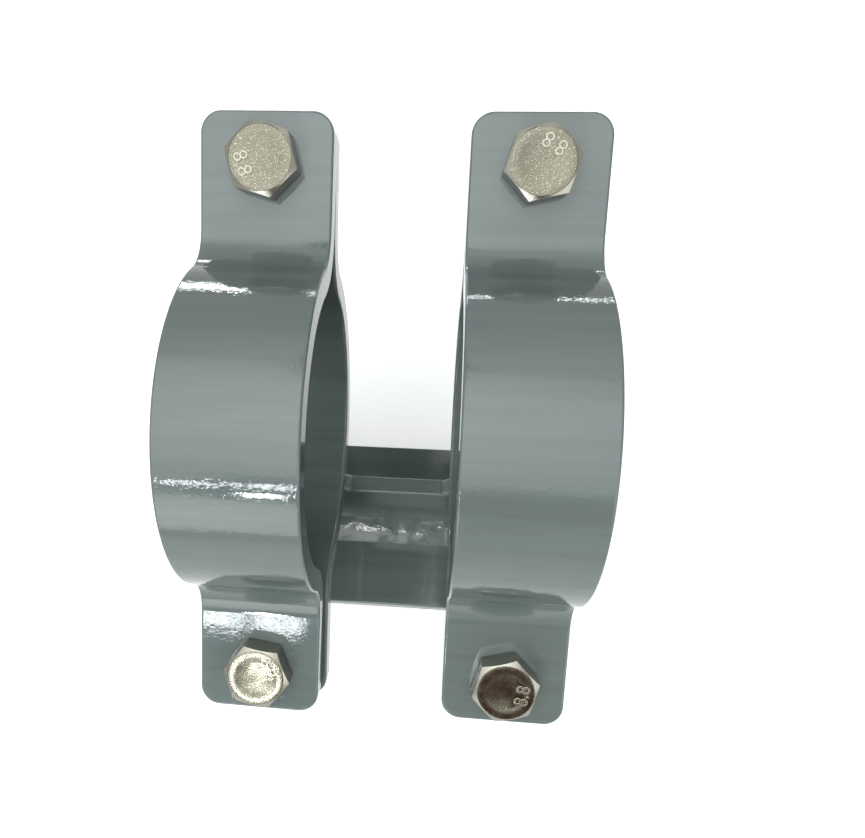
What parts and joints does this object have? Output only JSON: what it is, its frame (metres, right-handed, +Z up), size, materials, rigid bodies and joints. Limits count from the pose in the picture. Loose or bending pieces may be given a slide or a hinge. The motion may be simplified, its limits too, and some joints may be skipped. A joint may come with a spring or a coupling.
{
  "type": "pipe bracket",
  "caption": "Welded pipe shoe with bolted flat-bar strap clamps side by side, leaning back on an upright web above a flat base plate.",
  "frame": {"origin": "on the underside of the base plate, straight below the pipe's axis, midway between the clamps", "axes": "+X along the pipe towards the right clamp, +Y to the clamps' upper ears, +Z up from the base plate"},
  "size_m": [0.1516, 0.2164, 0.2051],
  "materials": {
    "clamp_enamel": "gloss grey enamel",
    "shoe_enamel": "gloss grey enamel",
    "weld_enamel": "gloss enamel on welds",
    "zinc_bolt": "zinc plated",
    "zinc_nut": "zinc plated"
  },
  "bodies": {
    "root": {"left_clamp_saddle": "clamp_enamel", "left_clamp_cap": "clamp_enamel", "right_clamp_saddle": "clamp_enamel", "right_clamp_cap": "clamp_enamel", "base_plate": "shoe_enamel", "web_plate": "shoe_enamel", "web_front_weld": "weld_enamel", "web_back_weld": "weld_enamel", "left_saddle_front_weld": "weld_enamel", "left_saddle_back_weld": "weld_enamel", "right_saddle_front_weld": "weld_enamel", "right_saddle_back_weld": "weld_enamel", "left_end_weld": "weld_enamel", "right_end_weld": "weld_enamel", "left_upper_bolt": "zinc_bolt", "left_lower_bolt": "zinc_bolt", "right_upper_bolt": "zinc_bolt", "right_lower_bolt": "zinc_bolt", "left_upper_nut": "zinc_nut", "left_lower_nut": "zinc_nut", "right_upper_nut": "zinc_nut", "right_lower_nut": "zinc_nut"}
  },
  "joints": []
}
